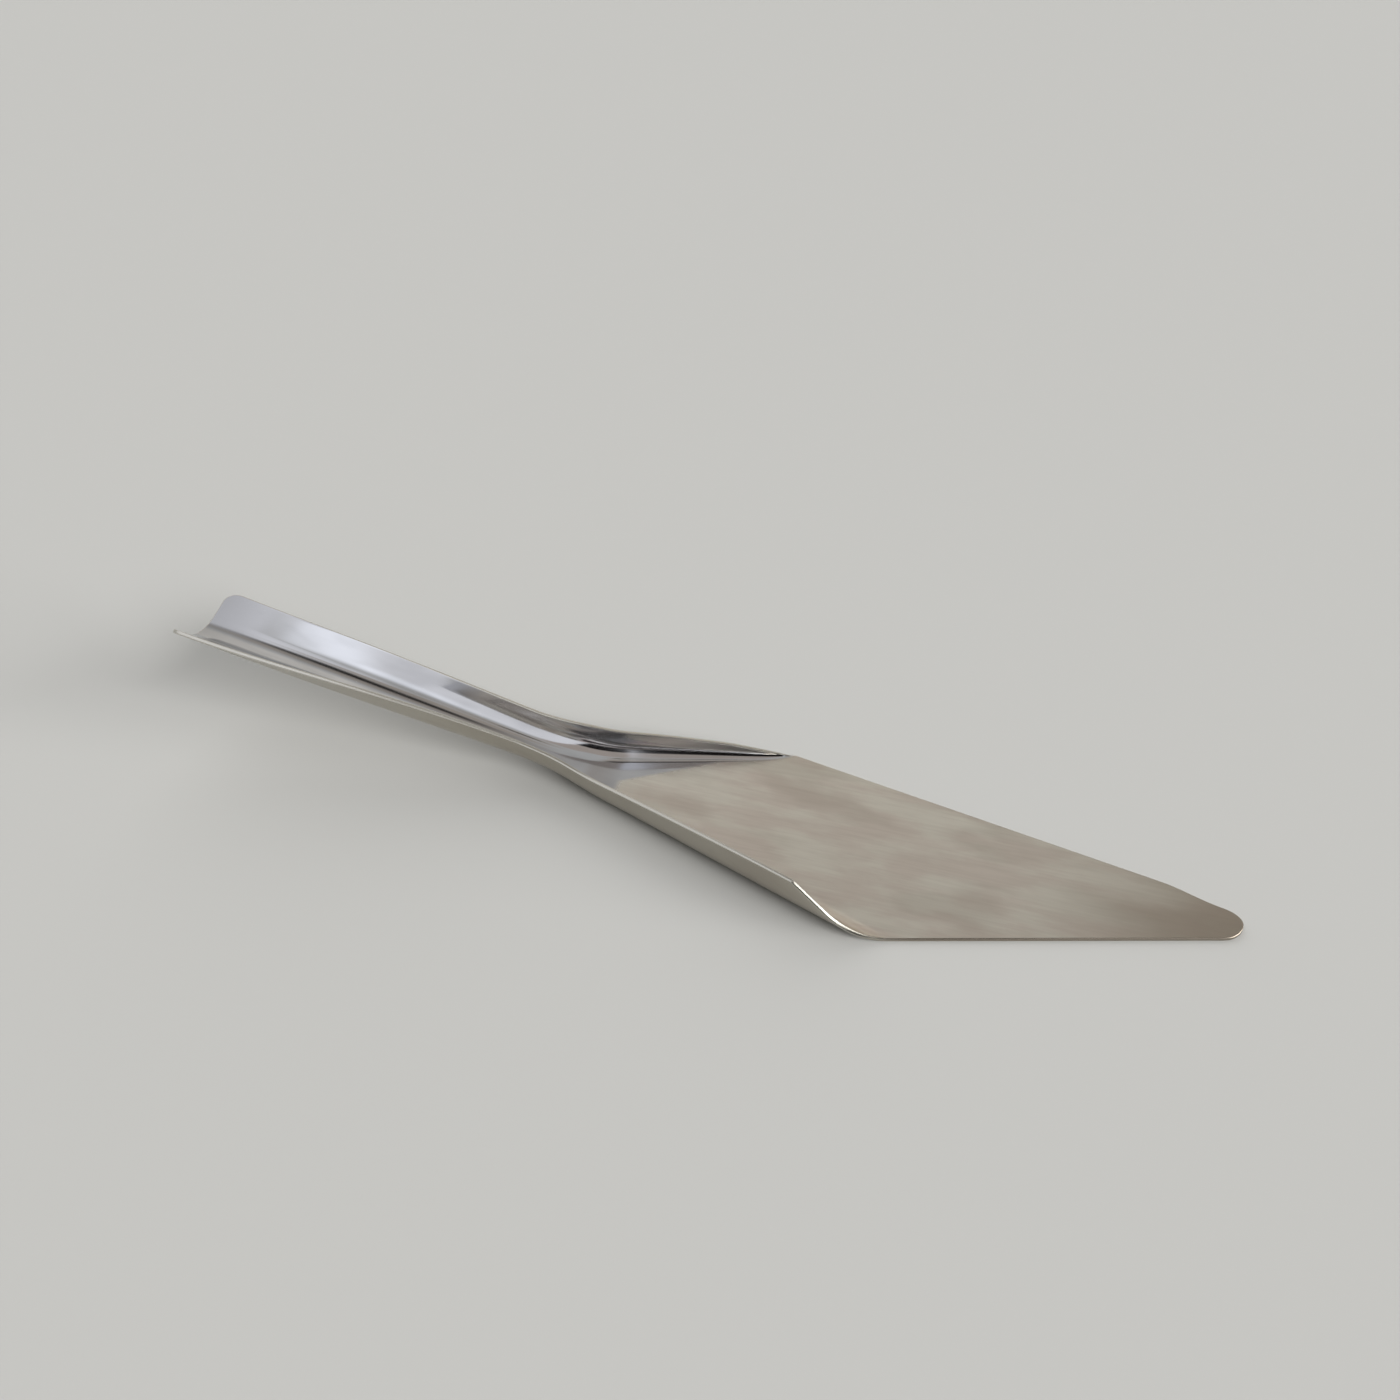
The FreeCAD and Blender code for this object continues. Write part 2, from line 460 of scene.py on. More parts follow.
@dataclass(frozen=True)
class FoldedSheet:
    """The whole server as one sheet; sizes in millimetres and degrees.

    A point of the sheet has two parameters: the station x along the server, and s, the
    distance measured on the sheet across it from the middle plane, positive to the left.
    Between the fold lines the sheet follows the channel's bottom line. Beyond a fold line it
    goes round an arc of the fold's radius up to the wall's angle, and then runs straight.
    The blade's left corner is at station 0. Where a wall's size has three values, they hold
    at the blade's corner, at the throat behind the neck, and at the handle's end.
    """

    # Thickness of the sheet, and how far its cut edges are rounded.
    sheet: float = 1.1
    rim_round: float = 0.34

    # The blade's outline: two straight edges that would meet at the apex, and a round tip.
    # Its left side is worn back by a share of the width, which grows over a stretch.
    apex_x: float = 141.4
    apex_y: float = -3.2
    left_edge: float = 10.4
    right_edge: float = 17.0
    tip_radius: float = 6.0
    tip_wear: float = 0.16
    tip_wear_x: tuple[float, float] = (102.0, 120.0)

    # The fold lines, which meet at the neck. The left one flares out to its corner.
    neck_x: float = -60.2
    left_fold: float = 18.1
    right_fold: float = 18.9
    neck_softness: float = 3.0
    corner_flare: float = 2.2
    corner_flare_length: float = 6.0

    # The channel's rise and the handle's end. Behind the throat the mesh's rows come to lean
    # with the rise over a length, so that the last one is the square end.
    rise_start_x: float = -44.2
    rise_radius: float = 52.0
    rise_angle: float = 12.2
    end_x: float = -170.2
    end_corner_radius: float = 4.0
    lean_from_throat: float = 5.0
    lean_length: float = 60.0

    # The walls: developed width, angle and inside radius. The left one swells fast from its
    # corner, turns up over a short length, and has a low crown in front of the throat.
    throat_x: float = -71.2
    right_corner_x: float = 13.3
    corner_softness: float = 0.15
    right_width: tuple[float, float, float] = (17.1, 12.2, 22.9)
    right_angle: tuple[float, float, float] = (84.0, 83.0, 49.0)
    right_radius: tuple[float, float, float] = (7.6, 6.1, 12.1)
    left_width: tuple[float, float, float] = (0.8, 10.4, 12.9)
    left_angle: tuple[float, float, float] = (77.0, 82.0, 20.0)
    left_radius: tuple[float, float, float] = (1.0, 5.9, 9.9)
    left_swell: float = 1.8
    left_turn_up: float = 6.0
    left_crown: float = 1.2
    crown_rise: tuple[float, float] = (18.0, 20.0)

    # The polish: where it ends on the channel's floor and folds, and where it is worn.
    polish_end_x: float = -44.5
    polish_slant: float = 1.6
    polish_slant_s: float = -1.5
    polish_edge: float = 2.6
    fold_polish_edge: float = 0.9
    corner_polish_edge: float = 3.0
    worn_stretch: tuple[float, float] = (-98.0, -62.0)
    worn_edges: tuple[float, float] = (16.0, 8.0)
    worn_fold_edge: float = 1.5
    worn_level: float = 0.7

    # The mesh: columns across, the least and most share of a row that a wall's columns take,
    # and the points in a rim's quarter circle. Rows are spaced plainly, closer within a reach
    # of the corners and the neck (reach, spacing), and closest at both ends.
    wall_columns: int = 30
    floor_columns: int = 24
    least_wall: float = 0.02
    most_wall: float = 0.4
    rim_steps: int = 6
    row_step: float = 0.9
    right_corner_rows: tuple[float, float] = (5.0, 0.16)
    left_corner_rows: tuple[float, float] = (4.0, 0.2)
    neck_rows: tuple[float, float] = (12.0, 0.6)
    end_step: float = 0.03
    end_step_growth: float = 0.28
    trial_stations: int = 40000
    lean_passes: int = 4

    def open_out(self, x: np.ndarray) -> np.ndarray:
        """Share of the way from the throat to the handle's end, or just past it: a quarter sine."""
        t = np.clip((self.throat_x - x) / (self.throat_x - self.end_x), 0.0, 1.05)
        return np.sin(t * math.pi / 2)

    def along(self, values: tuple[float, float, float], x: np.ndarray) -> np.ndarray:
        """A wall's value: eased from corner to throat, then a quarter sine to the end.

        Args:
            values: at the corner, at the throat and at the handle's end.
            x: the stations.

        Returns:
            The value at each station.
        """
        corner, throat, end = values
        t = (self.right_corner_x - x) / (self.right_corner_x - self.throat_x)
        front = corner + (throat - corner) * smooth(t)
        return np.where(x < self.throat_x, throat + (end - throat) * self.open_out(x), front)

    def fold_offset(self, angle: float, x: np.ndarray) -> np.ndarray:
        """A fold line's distance from the middle plane: half of q plus the root of q^2 + e^2."""
        q = (x - self.neck_x) * slope(angle)
        return (q + np.hypot(q, self.neck_softness)) / 2

    def left_edge_y(self, x: np.ndarray) -> np.ndarray:
        """The blade's straight left edge."""
        return self.apex_y + (self.apex_x - x) * slope(self.left_edge)

    def right_edge_y(self, x: np.ndarray) -> np.ndarray:
        """The blade's straight right edge."""
        return self.apex_y - (self.apex_x - x) * slope(self.right_edge)

    def bottom(self, x: np.ndarray) -> np.ndarray:
        """Height of the channel's bottom line: flat, then a parabola, then a straight rise.

        The parabola is d^2 / 2R, with d the distance behind the rise's start, and the
        straight part is its tangent where the slope reaches the rise's angle.

        Args:
            x: the stations.

        Returns:
            The height at each station.
        """
        d = np.clip(self.rise_start_x - x, 0.0, None)
        rise = slope(self.rise_angle)
        straight = rise * d - self.rise_radius * rise * rise / 2
        return np.where(d < self.rise_radius * rise, d * d / (2 * self.rise_radius), straight)

    def right_fold_s(self, x: np.ndarray) -> np.ndarray:
        """Where the right fold starts, as a distance from the middle plane."""
        return self.fold_offset(self.right_fold, x)

    def left_fold_s(self, x: np.ndarray) -> np.ndarray:
        """Where the left fold starts; it flares out exponentially to its corner.

        Args:
            x: the stations.

        Returns:
            The distance from the middle plane at each station.
        """
        flare = self.corner_flare * np.exp(np.minimum(x, 0.0) / self.corner_flare_length)
        fold = self.fold_offset(self.left_fold, x) + flare
        return np.where(x < 0, fold, self.left_edge_y(x) - self.left_width[0])

    def right_limit(self, x: np.ndarray) -> np.ndarray:
        """How far the sheet reaches to the right: the lesser of the wall's and blank's edge.

        The lesser of a and b is (a + b - root of ((a - b)^2 + e^2)) / 2, rounded by e.

        Args:
            x: the stations.

        Returns:
            The distance from the middle plane at each station.
        """
        wall = self.right_fold_s(x) + self.along(self.right_width, x)
        blank = -self.right_edge_y(x)
        gap = np.hypot(wall - blank, self.corner_softness)
        return (wall + blank - gap) / 2

    def left_limit(self, x: np.ndarray) -> np.ndarray:
        """How far the sheet reaches to the left, where the wall widens from its corner.

        The wall's width is 1 - (1 - t)^swell of the way from its corner to the throat, with
        a low crown between the two, and then changes evenly to the handle's end.

        Args:
            x: the stations.

        Returns:
            The distance from the middle plane at each station.
        """
        corner, throat, end = self.left_width
        t = np.clip(x / self.throat_x, 0.0, 1.0)
        wall = corner + (throat - corner) * (1 - (1 - t) ** self.left_swell)
        back = (self.throat_x - x) / (self.throat_x - self.end_x)
        wall = np.where(x < self.throat_x, throat + (end - throat) * back, wall)
        behind, ahead = self.crown_rise
        crown = self.left_crown * smooth((x - self.throat_x) / behind) * smooth(-x / ahead)
        return self.left_fold_s(x) + wall + crown

    def left_fold_radius(self, x: np.ndarray) -> np.ndarray:
        """Inside radius of the left fold, which grows with the root of x from its corner.

        Args:
            x: the stations.

        Returns:
            The radius at each station.
        """
        corner, throat, end = self.left_radius
        front = np.maximum(throat * np.sqrt(np.clip(x / self.throat_x, 0.0, None)), corner)
        return np.where(x < self.throat_x, throat + (end - throat) * self.open_out(x), front)

    def tip_centre(self) -> tuple[float, float]:
        """Centre of the tip's circle, on the bisector of the two edges.

        Returns:
            Its x and y.
        """
        half = math.radians(self.left_edge + self.right_edge) / 2
        axis = math.radians(180 + (self.right_edge - self.left_edge) / 2)
        reach = self.tip_radius / math.sin(half)
        return self.apex_x + reach * math.cos(axis), self.apex_y + reach * math.sin(axis)

    def limits(self, x: np.ndarray, inset: float) -> tuple[np.ndarray, np.ndarray]:
        """Right and left reach of the sheet at the stations, drawn in by the inset.

        The straight limits give way to the tip's circle in front, whose left side is worn
        back a little, and to the quarter circles of the end corners behind.

        Args:
            x: the stations.
            inset: distance from the true edge, in millimetres.

        Returns:
            The lowest and highest s at each station.
        """
        low = -self.right_limit(x) + inset
        high = self.left_limit(x) - inset
        cx, cy = self.tip_centre()
        radius = self.tip_radius - inset
        half = np.sqrt(np.clip(radius ** 2 - np.clip(x - cx, 0, None) ** 2, 0.0, None))
        right_touch = cx + radius * math.sin(math.radians(self.right_edge))
        left_touch = cx + radius * math.sin(math.radians(self.left_edge))
        low = np.where(x > right_touch, cy - half, low)
        high = np.where(x > left_touch, cy + half, high)
        start, stop = self.tip_wear_x
        high -= (high - low) * self.tip_wear * smooth((x - start) / (stop - start))
        round_end = self.end_corner_radius - inset
        d = np.clip(round_end - (x - self.end_x - inset), 0.0, round_end)
        trim = round_end - np.sqrt(round_end ** 2 - d ** 2)
        return low + trim, high - trim

    def stations(self, inset: float) -> np.ndarray:
        """Stations from the handle's end to the tip, closer where the outline turns.

        The spacing eases by exp(-((x - place) / width)^2) to a least value at the corners and
        the neck, and shrinks evenly towards both ends. The stations are where the running
        sum of 1 / spacing passes even steps.

        Args:
            inset: distance from the true edge, in millimetres.

        Returns:
            The stations in millimetres.
        """
        start = self.end_x + inset
        stop = self.tip_centre()[0] + self.tip_radius - inset
        trial = np.linspace(start, stop, self.trial_stations)
        step = np.full_like(trial, self.row_step)
        for place, (width, least) in ((self.right_corner_x, self.right_corner_rows),
                                      (0.0, self.left_corner_rows),
                                      (self.neck_x, self.neck_rows)):
            near = np.exp(-((trial - place) / width) ** 2)
            step = step * (1 - near) + least * near
        for end in (start, stop):
            step = np.minimum(step, self.end_step + self.end_step_growth * np.abs(trial - end))
        count = np.concatenate([[0.0], np.cumsum(np.diff(trial) / step[1:])])
        return np.interp(np.linspace(0, count[-1], int(count[-1])), count, trial)

    def across(self, x: np.ndarray, inset: float) -> np.ndarray:
        """Distances s for every row: even steps on each wall and on the floor between.

        Where a wall runs out, its columns keep a least share of the row's width.

        Args:
            x: the stations.
            inset: distance from the true edge, in millimetres.

        Returns:
            An array of shape (rows, columns).
        """
        low, high = self.limits(x, inset)
        least, most = self.least_wall * (high - low), self.most_wall * (high - low)
        right = np.minimum(np.maximum(-self.right_fold_s(x), low + least), low + most)
        left = np.maximum(np.minimum(self.left_fold_s(x), high - least), high - most)
        return np.hstack([between(low, right, self.wall_columns)[:, :-1],
                          between(right, left, self.floor_columns)[:, :-1],
                          between(left, high, self.wall_columns)])

    def fold(self, reach: np.ndarray, radius: np.ndarray,
             turn: np.ndarray) -> tuple[np.ndarray, np.ndarray]:
        """Fold the sheet up: an arc of the radius up to the turn, then straight on.

        With tilt = reach / radius, at most the turn, the arc gives r sin(tilt) out and
        r (1 - cos(tilt)) up, and what is left of the reach goes on at the turn.

        Args:
            reach: distance on the sheet beyond the fold line.
            radius: the fold's inside radius.
            turn: the wall's angle in radians.

        Returns:
            How far out and how far up.
        """
        tilt = np.minimum(reach / radius, turn)
        rest = reach - radius * tilt
        out = radius * np.sin(tilt) + rest * np.cos(turn)
        return out, radius * (1 - np.cos(tilt)) + rest * np.sin(turn)

    def section(self, x: np.ndarray, s: np.ndarray) -> tuple[np.ndarray, np.ndarray]:
        """Where the distances s lie in their sections: on the floor, or folded up beside it.

        Args:
            x: stations, shape (rows, columns).
            s: distances from the middle plane, same shape.

        Returns:
            How far left of the middle plane and how far above the bottom line.
        """
        right_fold, left_fold = self.right_fold_s(x), self.left_fold_s(x)
        right_turn = np.radians(self.along(self.right_angle, x))
        left_turn = np.radians(self.along(self.left_angle, x) * smooth(-x / self.left_turn_up))
        right_out, right_up = self.fold(np.maximum(-s - right_fold, 0.0),
                                        self.along(self.right_radius, x), right_turn)
        left_out, left_up = self.fold(np.maximum(s - left_fold, 0.0),
                                      self.left_fold_radius(x), left_turn)
        on_right, on_left = -s > right_fold, s > left_fold
        y = np.where(on_left, left_fold + left_out, np.where(on_right, -right_fold - right_out, s))
        return y, np.where(on_right, right_up, np.where(on_left, left_up, 0.0))

    def upper(self, x: np.ndarray, s: np.ndarray) -> np.ndarray:
        """Points of the sheet's upper side for stations x and distances s.

        In the handle each row leans with the handle's rise, so that its last row is cut
        square: the station is moved forward by the height above the bottom line times the
        rise's tangent, faded out in front of the throat. A few passes settle the two.

        Args:
            x: stations, shape (rows, columns).
            s: distances from the middle plane, same shape.

        Returns:
            Points in millimetres, shape (rows, columns, 3).
        """
        behind = self.throat_x - self.lean_from_throat - x
        lean = slope(self.rise_angle) * smooth(behind / self.lean_length)
        station = x
        for _ in range(self.lean_passes):
            y, up = self.section(station, s)
            station = x + lean * (up + self.sheet)
        return np.stack([station, y, self.bottom(station) + self.sheet + up], axis=-1)

    def rim(self, edge: np.ndarray, normal: np.ndarray) -> np.ndarray:
        """The cut edge, as rings of points from the upper side down to the underside.

        Its section is a straight side with a quarter circle at each corner: r sin(t) out and
        r (1 - cos(t)) down, for t from 0 to a right angle, and the same from below.

        Args:
            edge: points once round the upper side, shape (k, 3).
            normal: the sheet's unit normals there.

        Returns:
            Points in millimetres, shape (rings, k, 3).
        """
        outward = unit(np.cross(np.roll(edge, -1, axis=0) - np.roll(edge, 1, axis=0), normal))
        turn = np.linspace(0, math.pi / 2, self.rim_steps)
        corner_out = self.rim_round * np.sin(turn)
        corner_down = self.rim_round * (1 - np.cos(turn))
        out = np.concatenate([corner_out, corner_out[::-1]])[1:-1, None, None]
        down = np.concatenate([corner_down, self.sheet - corner_down[::-1]])[1:-1, None, None]
        return edge[None] + outward[None] * out - normal[None] * down

    def polish(self, x: np.ndarray, s: np.ndarray) -> np.ndarray:
        """How polished the upper side is: the channel fully, and each fold up to its corner.

        On the floor the polish ends on a line that slants forward on the left. Fingers have
        worn the inner side of the right wall in the channel's narrow stretch.

        Args:
            x: stations.
            s: distances from the middle plane.

        Returns:
            Levels from 0, satin, to 1, polished.
        """
        edge = self.polish_end_x + self.polish_slant * np.maximum(s - self.polish_slant_s, 0.0)
        channel = smooth((edge - x) / self.polish_edge + 0.5)
        left_beyond, right_beyond = s - self.left_fold_s(x), -s - self.right_fold_s(x)
        left = (smooth(left_beyond / self.fold_polish_edge)
                * smooth(-x / self.corner_polish_edge))
        right = (smooth(right_beyond / self.fold_polish_edge)
                 * smooth((self.right_corner_x - x) / self.corner_polish_edge))
        start, stop = self.worn_stretch
        start_edge, stop_edge = self.worn_edges
        worn = (smooth(right_beyond / self.worn_fold_edge)
                * smooth((x - start) / start_edge + 0.5) * smooth((stop - x) / stop_edge + 0.5))
        return np.maximum(np.maximum(channel, left), right) * (1 - self.worn_level * worn)

    def lay_map(self, obj: bpy.types.Object, place: np.ndarray) -> None:
        """Give the sheet its UV map, along it and across it.

        Args:
            obj: the sheet.
            place: each vertex's x and s in millimetres.
        """
        layer = obj.data.uv_layers.new(name=SHEET_MAP)
        corner = np.empty(len(obj.data.loops), dtype=np.int32)
        obj.data.loops.foreach_get("vertex_index", corner)
        layer.data.foreach_set("uv", (place[corner] / MAP_UNIT).astype(np.float32).ravel())

    def mark_zones(self, obj: bpy.types.Object, polish: np.ndarray, rim_points: int) -> None:
        """Write each zone's level at each vertex: upper side, rim, underside.

        Args:
            obj: the sheet.
            polish: the polish at each vertex of the upper side.
            rim_points: how many vertices the rim has.
        """
        none, full = np.zeros(len(polish)), np.ones(len(polish))
        no_rim, all_rim = np.zeros(rim_points), np.ones(rim_points)
        levels = {Zone.POLISH: (polish, no_rim, none), Zone.RIM: (none, all_rim, none),
                  Zone.OUTSIDE: (none, no_rim, full)}
        for zone, parts in levels.items():
            level = obj.data.attributes.new(zone.value, "FLOAT", "POINT")
            level.data.foreach_set("value", np.concatenate(parts).astype(np.float32))

    def build(self) -> bpy.types.Object:
        """The sheet as one closed mesh: upper side, underside, and a rounded rim between.

        The underside is the upper side moved by the sheet's thickness against its normal,
        which is the cross product of the surface's two directions.

        Returns:
            The object, with its UV map and its zones.
        """
        rows = self.stations(self.rim_round)
        s = self.across(rows, self.rim_round)
        x = np.repeat(rows[:, None], s.shape[1], axis=1)
        top = self.upper(x, s)
        normal = unit(np.cross(np.gradient(top, axis=0), np.gradient(top, axis=1)))
        top, normal = top.reshape(-1, 3), normal.reshape(-1, 3)
        border = grid_border(*s.shape)
        rim = self.rim(top[border], normal[border])
        points = np.concatenate([top, rim.reshape(-1, 3), top - normal * self.sheet])
        quads = closed_faces(*s.shape, border, len(rim))
        obj = mesh_object("server_sheet", points * MM, quads)
        place = np.stack([x, s], axis=-1).reshape(-1, 2)
        self.lay_map(obj, np.concatenate([place, np.tile(place[border], (len(rim), 1)), place]))
        self.mark_zones(obj, self.polish(x, s).ravel(), len(rim) * len(border))
        return obj

    def dress(self, obj: bpy.types.Object) -> None:
        """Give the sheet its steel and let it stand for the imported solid.

        Args:
            obj: the sheet.
        """
        obj.data.materials.append(StainlessSheet().material())
        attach(obj, "root")
        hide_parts("server_body")


def show_in_reflections(obj: bpy.types.Object, light: tuple | str) -> None:
    """Let a stage object glow so that only the steel's reflections see it.

    Args:
        obj: the object, whose name its material takes.
        light: a linear colour, or the name of the colour attribute that holds it.
    """
    material = empty_material(obj.name)
    tree = material.node_tree
    if isinstance(light, str):
        light = add_node(tree, "Attribute", attribute_name=light).outputs["Color"]
    glow = add_node(tree, "Emission", {"Color": light})
    add_node(tree, "OutputMaterial", {"Surface": glow.outputs["Emission"]})
    material.cycles.emission_sampling = "NONE"
    obj.data.materials.append(material)
    obj.visible_camera = False
    obj.visible_shadow = False
    obj.visible_diffuse = False


@dataclass(frozen=True)
class SoftPatch:
    """A soft-edged area of the surroundings; angles in degrees, seen from the server.

    Azimuth is counted from +X towards +Y, and elevation from the floor up.
    """

    name: str
    azimuth: float
    elevation: float
    half_width: float
    half_height: float
    edge: float
    shade: str
    level: float = 1.0

    def cover(self, azimuth: np.ndarray, elevation: np.ndarray) -> np.ndarray:
        """How much of the patch shows in each direction: 1 inside, eased to 0 over the edge.

        Args:
            azimuth: degrees.
            elevation: degrees.

        Returns:
            Cover from 0 to 1, one value for each direction.
        """
        across = np.abs((azimuth - self.azimuth + 180) % 360 - 180)
        up = np.abs(elevation - self.elevation)
        return (smooth((self.half_width + self.edge / 2 - across) / self.edge)
                * smooth((self.half_height + self.edge / 2 - up) / self.edge))


@dataclass(frozen=True)
class ReflectionDome:
    """What the steel reflects: a pale room with brighter and darker areas, laid on in turn."""

    radius: float = 2.9
    lowest: float = -4.0
    step: float = 2.0
    strength: float = 0.88
    room: str = "c8c8c6"
    # Each patch covers the ones before it.
    patches: tuple[SoftPatch, ...] = (
        SoftPatch("bright_left", -120.0, 50.0, 60.0, 26.0, 12.0, "fbfbff", 1.08),
        SoftPatch("bright_behind", 150.0, 58.0, 30.0, 22.0, 8.0, "fbfbff"),
        SoftPatch("ceiling_window", -135.0, 68.0, 30.0, 8.0, 14.0, "f3f5fb", 1.55),
        SoftPatch("zenith", 0.0, 90.0, 180.0, 5.0, 5.0, "b8aea4"),
        SoftPatch("back_low", 100.0, 0.0, 52.0, 40.0, 10.0, "dcd8d1", 1.14),
        SoftPatch("back_low_right", 85.0, 22.0, 7.0, 14.0, 8.0, "aea69d"),
        SoftPatch("back_middle", 106.0, 60.0, 14.0, 13.0, 10.0, "a8a098"),
        SoftPatch("back_high", 108.0, 77.0, 24.0, 6.0, 8.0, "b4aaa0"),
        SoftPatch("back_dark", 109.0, 62.5, 11.0, 5.5, 7.0, "2a2826"),
        SoftPatch("dark_ahead", 58.0, 44.0, 12.0, 14.0, 12.0, "9c958b"),
        SoftPatch("ceiling_right", 8.0, 57.0, 40.0, 9.0, 6.0, "857f79"),
        SoftPatch("dark_low_right", 39.0, 16.0, 9.0, 11.0, 4.0, "2a2624"),
        SoftPatch("warm_right", 40.0, 32.0, 8.0, 4.0, 5.0, "e0c4ba", 1.5),
        SoftPatch("glint_right", 32.5, 29.0, 3.0, 3.0, 3.0, "fdf6f2", 3.4),
        SoftPatch("window_right", -2.0, 26.0, 25.0, 20.0, 4.0, "fdfcf8", 5.0),
        SoftPatch("window_low", 5.0, 14.0, 23.0, 16.0, 4.0, "fdfcf8", 5.0),
        SoftPatch("front_low", -112.0, 0.0, 34.0, 16.0, 10.0, "b4b0a8"),
    )

    def radiance(self, azimuth: np.ndarray, elevation: np.ndarray) -> np.ndarray:
        """Light that reaches the server from each direction.

        Args:
            azimuth: degrees.
            elevation: degrees.

        Returns:
            Linear RGB, one row for each direction.
        """
        light = np.tile(np.array(linear(self.room)[:3]), (len(azimuth), 1))
        for patch in self.patches:
            cover = patch.cover(azimuth, elevation)[:, None]
            light += cover * (np.array(linear(patch.shade)[:3]) * patch.level - light)
        return light * self.strength

    def build(self) -> bpy.types.Object:
        """The dome, with its light in a colour attribute.

        A point is the radius times (cos a cos e, sin a cos e, sin e), with azimuth a and
        elevation e.

        Returns:
            The object.
        """
        azimuth = np.arange(-180.0, 180.0, self.step)
        elevation = np.arange(self.lowest, 90.0, self.step)
        along, up = [grid.ravel() for grid in np.meshgrid(azimuth, elevation)]
        flat, tall = np.radians(along), np.radians(up)
        points = np.column_stack([np.cos(flat) * np.cos(tall), np.sin(flat) * np.cos(tall),
                                  np.sin(tall)]) * self.radius
        index = np.arange(len(points)).reshape(len(elevation), len(azimuth))
        turned = np.roll(index, -1, axis=1)
        quads = np.stack([index[:-1], index[1:], turned[1:], turned[:-1]], axis=-1)
        obj = mesh_object("reflection_dome", points, quads.reshape(-1, 4))
        light = np.column_stack([self.radiance(along, up), np.ones(len(points))])
        layer = obj.data.attributes.new("light", "FLOAT_COLOR", "POINT")
        layer.data.foreach_set("color", light.astype(np.float32).ravel())
        show_in_reflections(obj, "light")
        return obj


@dataclass(frozen=True)
class ReflectorCard:
    """An upright card close in front of the server, seen only in reflections.

    Sizes are in metres. Each row is a height with the card's left and right end there.
    """

    name: str
    y: float
    rows: tuple[tuple[float, float, float], ...]
    shade: str

    def build(self) -> bpy.types.Object:
        """The card as a strip through its rows.

        Returns:
            The object.
        """
        points = np.array([[x, self.y, z] for z, left, right in self.rows for x in (left, right)])
        low = np.arange(0, len(points) - 2, 2)
        obj = mesh_object(self.name, points, np.column_stack([low, low + 1, low + 3, low + 2]))
        show_in_reflections(obj, linear(self.shade))
        return obj


@dataclass(frozen=True)
class SoftLamp:
    """A wide soft sun that the steel doesn't reflect; angles in degrees."""

    name: str
    azimuth: float
    elevation: float
    power: float
    spread: float = 30.0
    shade: str = "fdfcfa"

    def build(self) -> bpy.types.Object:
        """The lamp, turned so that it shines from its azimuth and elevation.

        Returns:
            The object.
        """
        data = bpy.data.lights.new(self.name, "SUN")
        data.angle = math.radians(self.spread)
        data.energy = self.power
        data.color = linear(self.shade)[:3]
        flat, tall = math.radians(self.azimuth), math.radians(self.elevation)
        direction = Vector((math.cos(flat) * math.cos(tall), math.sin(flat) * math.cos(tall),
                            math.sin(tall)))
        obj = bpy.data.objects.new(self.name, data)
        obj.rotation_euler = direction.to_track_quat("Z", "Y").to_euler()
        obj.visible_glossy = False
        bpy.context.scene.collection.objects.link(obj)
        return obj


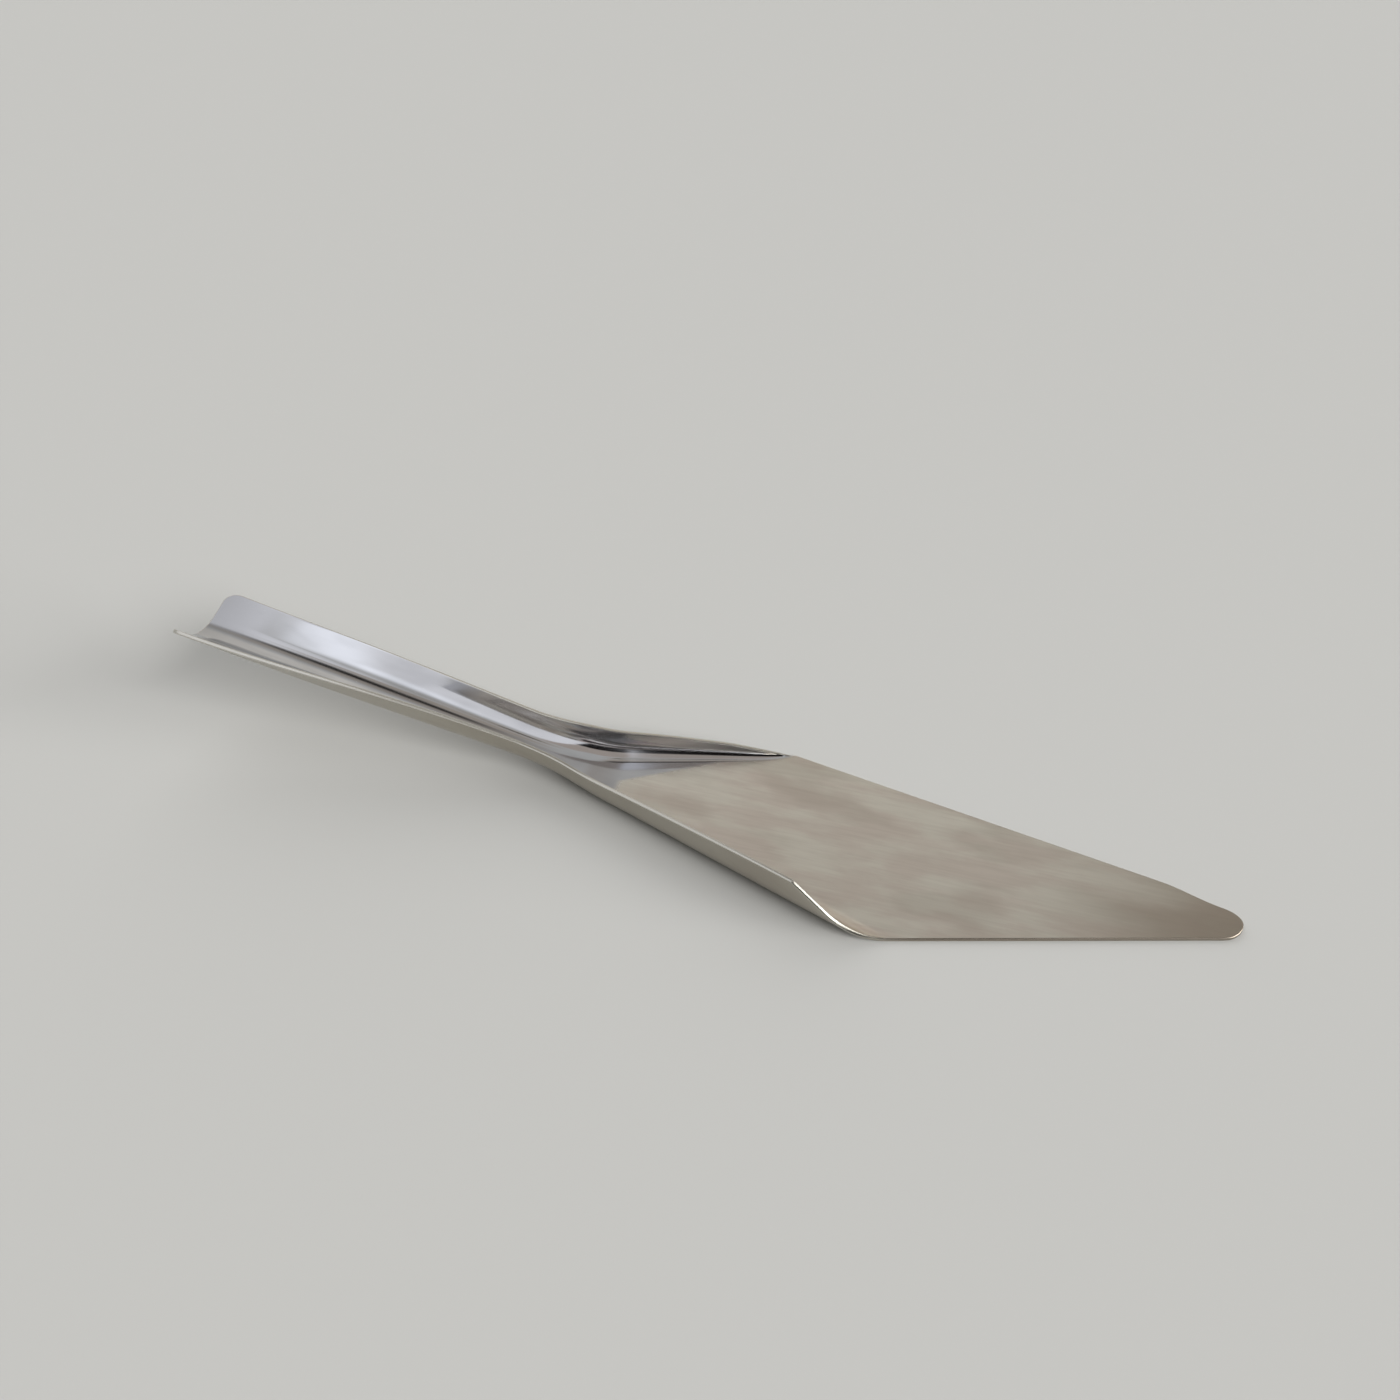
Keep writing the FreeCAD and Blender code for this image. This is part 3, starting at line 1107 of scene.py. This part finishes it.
@dataclass(frozen=True)
class Studio:
    """Plain pale floor, soft lamps, what the steel reflects, and the camera.

    The camera's place is in millimetres and its angles are in degrees. Its lens is as long as
    its sensor is wide. The floor and its gap under the blade are in metres.
    """

    camera_x: float = 63.2
    camera_y: float = -259.2
    camera_height: float = 275.0
    camera_azimuth: float = 108.0
    camera_pitch: float = 41.2785
    camera_roll: float = -0.888
    focal: float = 36.0
    sensor_width: float = 36.0
    nearest: float = 0.01

    floor_shade: str = "c5c5c3"
    floor_reach: float = 3.0
    floor_gap: float = 0.00005
    surround: float = 0.22
    surround_shade: str = "f4f4f2"
    horizon: str = "c6c5c1"

    lamps: tuple[SoftLamp, ...] = (
        SoftLamp("key", -30.0, 35.0, 2.30),
        SoftLamp("low_key", 0.0, 15.0, 2.30),
        SoftLamp("back", 130.0, 24.0, 1.65, 80.0),
    )
    cards: tuple[ReflectorCard, ...] = (
        ReflectorCard("dark_card", -0.150,
                      ((0.0, -0.015, 0.145), (0.160, -0.015, 0.145), (0.200, 0.09, 0.145)),
                      "1a1817"),
        ReflectorCard("warm_card", -0.152,
                      ((0.0, -0.015, 0.13), (0.2, -0.015, 0.13), (0.5, -0.035, 0.13),
                       (1.0, -0.035, 0.13)), "b2a8a0"),
    )

    def floor(self) -> bpy.types.Object:
        """A wide plane a hair under the blade, matt like background paper.

        Returns:
            The object.
        """
        grid = np.array([[-1, -1], [1, -1], [1, 1], [-1, 1]], dtype=float) * self.floor_reach
        points = np.column_stack([grid, np.full(4, -self.floor_gap)])
        obj = mesh_object("floor", points, np.array([[0, 1, 2, 3]]))
        material = empty_material("pale_floor")
        shader = add_node(material.node_tree, "BsdfPrincipled", {
            "Base Color": linear(self.floor_shade), "Roughness": 0.9, "Specular IOR Level": 0.0})
        add_node(material.node_tree, "OutputMaterial", {"Surface": shader.outputs["BSDF"]})
        obj.data.materials.append(material)
        return obj

    def world(self) -> None:
        """An even pale surround, which looks like the lit floor where the camera sees it."""
        world = bpy.data.worlds.new("studio")
        bpy.context.scene.world = world
        world.use_nodes = True
        world.cycles_visibility.glossy = False
        tree = world.node_tree
        tree.nodes.clear()
        light = add_node(tree, "Background", {
            "Color": linear(self.surround_shade), "Strength": self.surround})
        seen = add_node(tree, "Background", {"Color": linear(self.horizon)})
        path = add_node(tree, "LightPath")
        choice = add_node(tree, "MixShader", {
            0: path.outputs["Is Camera Ray"], 1: light.outputs[0], 2: seen.outputs[0]})
        add_node(tree, "OutputWorld", {"Surface": choice.outputs[0]})

    def camera(self) -> None:
        """The photograph's camera, which looks down on the blade from its right side."""
        data = bpy.data.cameras.new("camera")
        data.lens = self.focal
        data.sensor_width = self.sensor_width
        data.clip_start = self.nearest
        obj = bpy.data.objects.new("camera", data)
        turn = (Matrix.Rotation(math.radians(self.camera_azimuth - 90), 4, "Z")
                @ Matrix.Rotation(math.radians(90 - self.camera_pitch), 4, "X")
                @ Matrix.Rotation(math.radians(self.camera_roll), 4, "Z"))
        place = Matrix.Translation((self.camera_x * MM, self.camera_y * MM,
                                    self.camera_height * MM))
        obj.matrix_world = place @ turn
        bpy.context.scene.collection.objects.link(obj)
        bpy.context.scene.camera = obj

    def build(self) -> None:
        """Set the whole stage."""
        self.floor()
        self.world()
        for piece in self.lamps + self.cards:
            piece.build()
        ReflectionDome().build()
        self.camera()


def main() -> None:
    """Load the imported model, dress it, and set the stage."""
    logging.basicConfig(level=logging.INFO, format="%(name)s: %(message)s")
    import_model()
    scene = bpy.context.scene
    scene.view_settings.view_transform = "Standard"

    sheet = FoldedSheet()
    server = sheet.build()
    sheet.dress(server)
    LOG.info("server_sheet: %d vertices", len(server.data.vertices))

    Studio().build()
    LOG.info("stage set")


if __name__ == "__main__":
    main()
